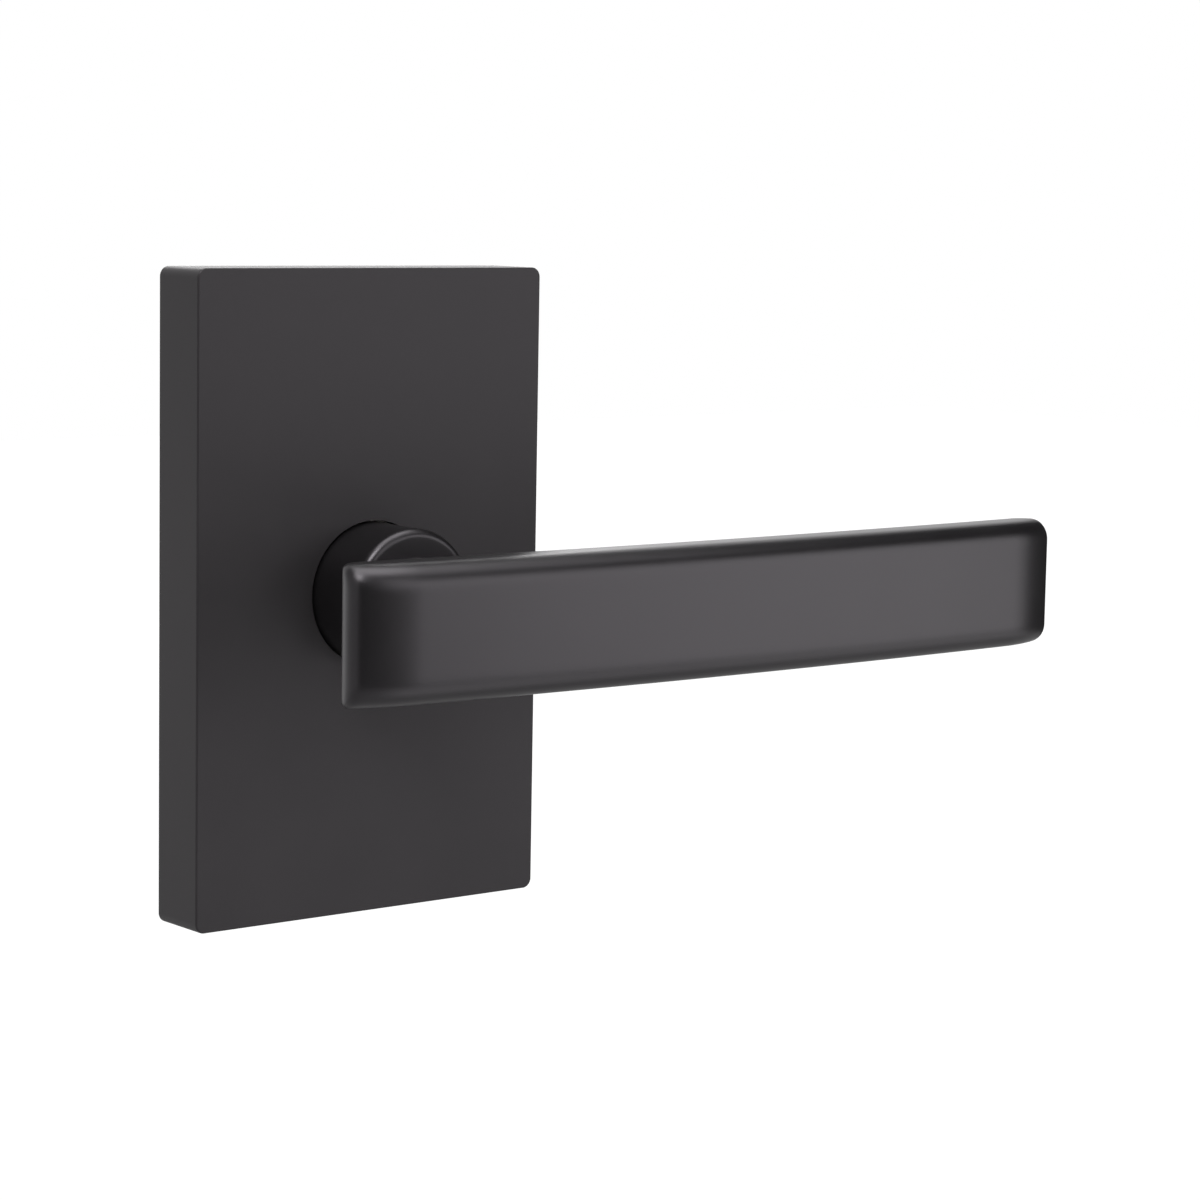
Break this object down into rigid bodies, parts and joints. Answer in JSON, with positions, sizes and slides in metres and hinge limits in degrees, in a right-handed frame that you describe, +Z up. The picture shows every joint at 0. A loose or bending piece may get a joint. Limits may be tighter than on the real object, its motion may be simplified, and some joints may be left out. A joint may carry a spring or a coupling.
{
  "type": "door lever handle",
  "caption": "Satin black door lever: a flat, gently bowed bar grip on a round shank turns against a return spring in a plain rectangular rosette and drives a square spindle.",
  "frame": {"origin": "on the spindle's axis, in the plane of the door's face", "axes": "+Y into the door along the spindle, +X along the grip, +Z up"},
  "size_m": [0.144, 0.0968, 0.1048],
  "materials": {
    "black_finish": "satin black",
    "black_screw": "black oxide",
    "pad_rubber": "matt foam rubber",
    "zinc_steel": "bright zinc plate",
    "cast_zinc": "as-cast zinc alloy",
    "bush_plastic": "natural nylon",
    "sleeve_brass": "turned brass",
    "spring_steel": "oiled spring steel",
    "hub_steel": "sintered steel"
  },
  "bodies": {
    "rosette": {"rosette_cover": "black_finish", "cover_screw": "black_screw", "backing_pad": "pad_rubber", "mounting_plate": "zinc_steel", "spring_cage": "cast_zinc", "cage_lid": "cast_zinc", "shank_bushing": "bush_plastic", "hub_bushing": "sleeve_brass", "hub_washer": "bush_plastic", "return_spring": "spring_steel", "lid_screws": "zinc_steel", "bolt_washers": "zinc_steel", "through_bolts": "zinc_steel", "wood_screws": "zinc_steel"},
    "lever": {"lever": "black_finish", "lever_grub_screw": "black_screw", "spindle": "zinc_steel", "spindle_pin": "zinc_steel", "drive_hub": "hub_steel", "hub_clip": "spring_steel"}
  },
  "joints": [
    {"name": "lever_turn", "type": "hinge", "parent": "rosette", "child": "lever", "pos_m": [0, 0, 0], "axis": [0, 1, 0], "range_deg": [-45, 45], "stiffness_Nm_per_rad": 2, "springref_deg": -1.91, "deforming": ["return_spring"]}
  ]
}
